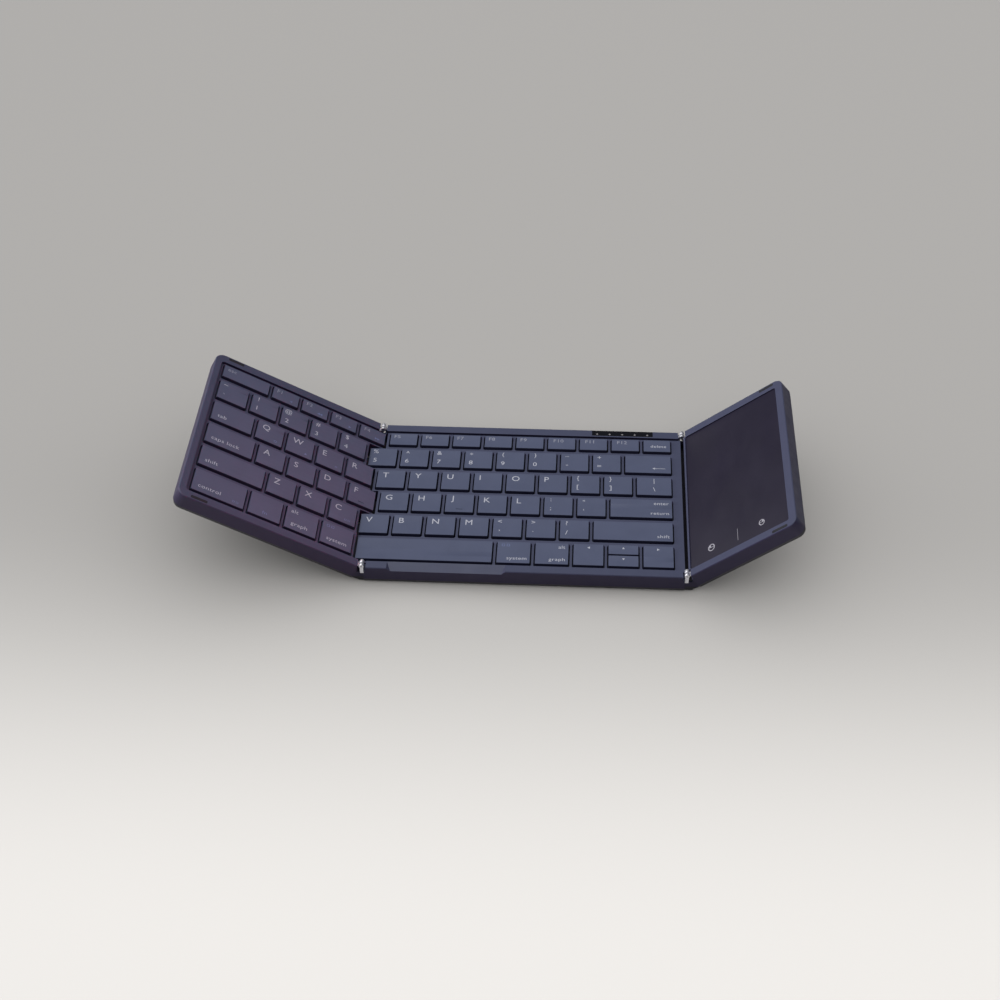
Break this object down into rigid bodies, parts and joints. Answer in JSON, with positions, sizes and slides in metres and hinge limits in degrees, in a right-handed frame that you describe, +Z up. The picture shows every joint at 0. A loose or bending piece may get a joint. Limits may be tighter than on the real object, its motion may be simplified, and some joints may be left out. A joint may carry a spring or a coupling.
{
  "type": "folding keyboard",
  "caption": "Pocket keyboard: a key wing and a touchpad wing fold on knuckle hinges over a flat middle panel, with low scissor keys that sink when pressed.",
  "frame": {"origin": "on the desk, under the middle of the whole object's footprint with the wings half raised", "axes": "+X from the key wing to the touchpad wing, along the rows; +Y away from the typist; +Z up"},
  "size_m": [0.3408, 0.122, 0.0647],
  "materials": {
    "frame_plastic": "soft-touch coated, slate grey",
    "cover_plastic": "fine moulded texture, near black",
    "key_plastic": "satin, slate grey with pale legends",
    "touchpad": "fine matt, dark",
    "window_plastic": "polished black",
    "clear_plastic": "clear moulded",
    "hinge_steel": "bright turned",
    "steel": "plain rolled",
    "socket_metal": "drawn shell",
    "foot_rubber": "matt moulded",
    "pad_rubber": "matt moulded",
    "dome_rubber": "translucent silicone",
    "link_plastic": "plain moulded",
    "membrane_film": "printed film",
    "circuit_board": "solder mask",
    "battery_foil": "pouch foil"
  },
  "bodies": {
    "base": {"base_bottom_cover": "cover_plastic", "base_top_frame": "frame_plastic", "base_support_plate": "steel", "base_key_membrane": "membrane_film", "base_rubber_domes": "dome_rubber", "base_scissor_links": "link_plastic", "main_circuit_board": "circuit_board", "battery_cell": "battery_foil", "charging_socket": "socket_metal", "indicator_window": "window_plastic", "indicator_light_guides": "clear_plastic", "base_rubber_feet": "foot_rubber", "base_screws": "steel", "left_hinge_brackets": "hinge_steel", "right_hinge_brackets": "hinge_steel", "left_hinge_pins": "steel", "right_hinge_pins": "steel"},
    "left_wing": {"left_bottom_cover": "cover_plastic", "left_top_frame": "frame_plastic", "left_support_plate": "steel", "left_key_membrane": "membrane_film", "left_rubber_domes": "dome_rubber", "left_scissor_links": "link_plastic", "left_hinge_knuckles": "hinge_steel", "left_closing_pads": "pad_rubber", "left_rubber_feet": "foot_rubber", "left_screws": "steel"},
    "right_wing": {"right_bottom_cover": "cover_plastic", "right_top_frame": "frame_plastic", "touchpad_surface": "touchpad", "touchpad_circuit_board": "circuit_board", "right_hinge_knuckles": "hinge_steel", "right_closing_pads": "pad_rubber", "right_rubber_feet": "foot_rubber", "right_screws": "steel"},
    "escape_key_cap": {"escape_key": "key_plastic"},
    "left_function_keys_set": {"left_function_keys": "key_plastic"},
    "left_number_keys_set": {"left_number_keys": "key_plastic"},
    "tab_key_cap": {"tab_key": "key_plastic"},
    "left_upper_letter_keys_set": {"left_upper_letter_keys": "key_plastic"},
    "caps_lock_key_cap": {"caps_lock_key": "key_plastic"},
    "left_home_letter_keys_set": {"left_home_letter_keys": "key_plastic"},
    "left_shift_key_cap": {"left_shift_key": "key_plastic"},
    "left_lower_letter_keys_set": {"left_lower_letter_keys": "key_plastic"},
    "left_control_key_cap": {"left_control_key": "key_plastic"},
    "fn_key_cap": {"fn_key": "key_plastic"},
    "left_modifier_keys_set": {"left_modifier_keys": "key_plastic"},
    "middle_function_keys_set": {"middle_function_keys": "key_plastic"},
    "middle_number_keys_set": {"middle_number_keys": "key_plastic"},
    "backspace_key_cap": {"backspace_key": "key_plastic"},
    "middle_upper_letter_keys_set": {"middle_upper_letter_keys": "key_plastic"},
    "backslash_key_cap": {"backslash_key": "key_plastic"},
    "middle_home_letter_keys_set": {"middle_home_letter_keys": "key_plastic"},
    "enter_key_cap": {"enter_key": "key_plastic"},
    "middle_lower_letter_keys_set": {"middle_lower_letter_keys": "key_plastic"},
    "right_shift_key_cap": {"right_shift_key": "key_plastic"},
    "space_bar_cap": {"space_bar": "key_plastic"},
    "right_modifier_keys_set": {"right_modifier_keys": "key_plastic"},
    "arrow_keys_set": {"arrow_keys": "key_plastic"}
  },
  "joints": [
    {"name": "left_wing_hinge", "type": "hinge", "parent": "base", "child": "left_wing", "pos_m": [-0.07057, 0, 0.0122], "axis": [0, 1, 0], "range_deg": [-29, 151]},
    {"name": "right_wing_hinge", "type": "hinge", "parent": "base", "child": "right_wing", "pos_m": [0.10943, 0, 0.0122], "axis": [0, -1, 0], "range_deg": [-39, 141]},
    {"name": "escape_key_press", "type": "slide", "parent": "left_wing", "child": "escape_key_cap", "axis": [-0.4848, 0, -0.8746], "range_m": [0, 0.0014], "stiffness_N_per_m": 300, "springref_m": -0.001, "deforming": ["left_rubber_domes", "left_scissor_links"]},
    {"name": "left_function_keys_press", "type": "slide", "parent": "left_wing", "child": "left_function_keys_set", "axis": [-0.4848, 0, -0.8746], "range_m": [0, 0.0014], "stiffness_N_per_m": 300, "springref_m": -0.001, "deforming": ["left_rubber_domes", "left_scissor_links"]},
    {"name": "left_number_keys_press", "type": "slide", "parent": "left_wing", "child": "left_number_keys_set", "axis": [-0.4848, 0, -0.8746], "range_m": [0, 0.0014], "stiffness_N_per_m": 300, "springref_m": -0.001, "deforming": ["left_rubber_domes", "left_scissor_links"]},
    {"name": "tab_key_press", "type": "slide", "parent": "left_wing", "child": "tab_key_cap", "axis": [-0.4848, 0, -0.8746], "range_m": [0, 0.0014], "stiffness_N_per_m": 300, "springref_m": -0.001, "deforming": ["left_rubber_domes", "left_scissor_links"]},
    {"name": "left_upper_letter_keys_press", "type": "slide", "parent": "left_wing", "child": "left_upper_letter_keys_set", "axis": [-0.4848, 0, -0.8746], "range_m": [0, 0.0014], "stiffness_N_per_m": 300, "springref_m": -0.001, "deforming": ["left_rubber_domes", "left_scissor_links"]},
    {"name": "caps_lock_key_press", "type": "slide", "parent": "left_wing", "child": "caps_lock_key_cap", "axis": [-0.4848, 0, -0.8746], "range_m": [0, 0.0014], "stiffness_N_per_m": 300, "springref_m": -0.001, "deforming": ["left_rubber_domes", "left_scissor_links"]},
    {"name": "left_home_letter_keys_press", "type": "slide", "parent": "left_wing", "child": "left_home_letter_keys_set", "axis": [-0.4848, 0, -0.8746], "range_m": [0, 0.0014], "stiffness_N_per_m": 300, "springref_m": -0.001, "deforming": ["left_rubber_domes", "left_scissor_links"]},
    {"name": "left_shift_key_press", "type": "slide", "parent": "left_wing", "child": "left_shift_key_cap", "axis": [-0.4848, 0, -0.8746], "range_m": [0, 0.0014], "stiffness_N_per_m": 300, "springref_m": -0.001, "deforming": ["left_rubber_domes", "left_scissor_links"]},
    {"name": "left_lower_letter_keys_press", "type": "slide", "parent": "left_wing", "child": "left_lower_letter_keys_set", "axis": [-0.4848, 0, -0.8746], "range_m": [0, 0.0014], "stiffness_N_per_m": 300, "springref_m": -0.001, "deforming": ["left_rubber_domes", "left_scissor_links"]},
    {"name": "left_control_key_press", "type": "slide", "parent": "left_wing", "child": "left_control_key_cap", "axis": [-0.4848, 0, -0.8746], "range_m": [0, 0.0014], "stiffness_N_per_m": 300, "springref_m": -0.001, "deforming": ["left_rubber_domes", "left_scissor_links"]},
    {"name": "fn_key_press", "type": "slide", "parent": "left_wing", "child": "fn_key_cap", "axis": [-0.4848, 0, -0.8746], "range_m": [0, 0.0014], "stiffness_N_per_m": 300, "springref_m": -0.001, "deforming": ["left_rubber_domes", "left_scissor_links"]},
    {"name": "left_modifier_keys_press", "type": "slide", "parent": "left_wing", "child": "left_modifier_keys_set", "axis": [-0.4848, 0, -0.8746], "range_m": [0, 0.0014], "stiffness_N_per_m": 300, "springref_m": -0.001, "deforming": ["left_rubber_domes", "left_scissor_links"]},
    {"name": "middle_function_keys_press", "type": "slide", "parent": "base", "child": "middle_function_keys_set", "axis": [0, 0, -1], "range_m": [0, 0.0014], "stiffness_N_per_m": 300, "springref_m": -0.001, "deforming": ["base_rubber_domes", "base_scissor_links"]},
    {"name": "middle_number_keys_press", "type": "slide", "parent": "base", "child": "middle_number_keys_set", "axis": [0, 0, -1], "range_m": [0, 0.0014], "stiffness_N_per_m": 300, "springref_m": -0.001, "deforming": ["base_rubber_domes", "base_scissor_links"]},
    {"name": "backspace_key_press", "type": "slide", "parent": "base", "child": "backspace_key_cap", "axis": [0, 0, -1], "range_m": [0, 0.0014], "stiffness_N_per_m": 300, "springref_m": -0.001, "deforming": ["base_rubber_domes", "base_scissor_links"]},
    {"name": "middle_upper_letter_keys_press", "type": "slide", "parent": "base", "child": "middle_upper_letter_keys_set", "axis": [0, 0, -1], "range_m": [0, 0.0014], "stiffness_N_per_m": 300, "springref_m": -0.001, "deforming": ["base_rubber_domes", "base_scissor_links"]},
    {"name": "backslash_key_press", "type": "slide", "parent": "base", "child": "backslash_key_cap", "axis": [0, 0, -1], "range_m": [0, 0.0014], "stiffness_N_per_m": 300, "springref_m": -0.001, "deforming": ["base_rubber_domes", "base_scissor_links"]},
    {"name": "middle_home_letter_keys_press", "type": "slide", "parent": "base", "child": "middle_home_letter_keys_set", "axis": [0, 0, -1], "range_m": [0, 0.0014], "stiffness_N_per_m": 300, "springref_m": -0.001, "deforming": ["base_rubber_domes", "base_scissor_links"]},
    {"name": "enter_key_press", "type": "slide", "parent": "base", "child": "enter_key_cap", "axis": [0, 0, -1], "range_m": [0, 0.0014], "stiffness_N_per_m": 300, "springref_m": -0.001, "deforming": ["base_rubber_domes", "base_scissor_links"]},
    {"name": "middle_lower_letter_keys_press", "type": "slide", "parent": "base", "child": "middle_lower_letter_keys_set", "axis": [0, 0, -1], "range_m": [0, 0.0014], "stiffness_N_per_m": 300, "springref_m": -0.001, "deforming": ["base_rubber_domes", "base_scissor_links"]},
    {"name": "right_shift_key_press", "type": "slide", "parent": "base", "child": "right_shift_key_cap", "axis": [0, 0, -1], "range_m": [0, 0.0014], "stiffness_N_per_m": 300, "springref_m": -0.001, "deforming": ["base_rubber_domes", "base_scissor_links"]},
    {"name": "space_bar_press", "type": "slide", "parent": "base", "child": "space_bar_cap", "axis": [0, 0, -1], "range_m": [0, 0.0014], "stiffness_N_per_m": 300, "springref_m": -0.001, "deforming": ["base_rubber_domes", "base_scissor_links"]},
    {"name": "right_modifier_keys_press", "type": "slide", "parent": "base", "child": "right_modifier_keys_set", "axis": [0, 0, -1], "range_m": [0, 0.0014], "stiffness_N_per_m": 300, "springref_m": -0.001, "deforming": ["base_rubber_domes", "base_scissor_links"]},
    {"name": "arrow_keys_press", "type": "slide", "parent": "base", "child": "arrow_keys_set", "axis": [0, 0, -1], "range_m": [0, 0.0014], "stiffness_N_per_m": 300, "springref_m": -0.001, "deforming": ["base_rubber_domes", "base_scissor_links"]}
  ]
}
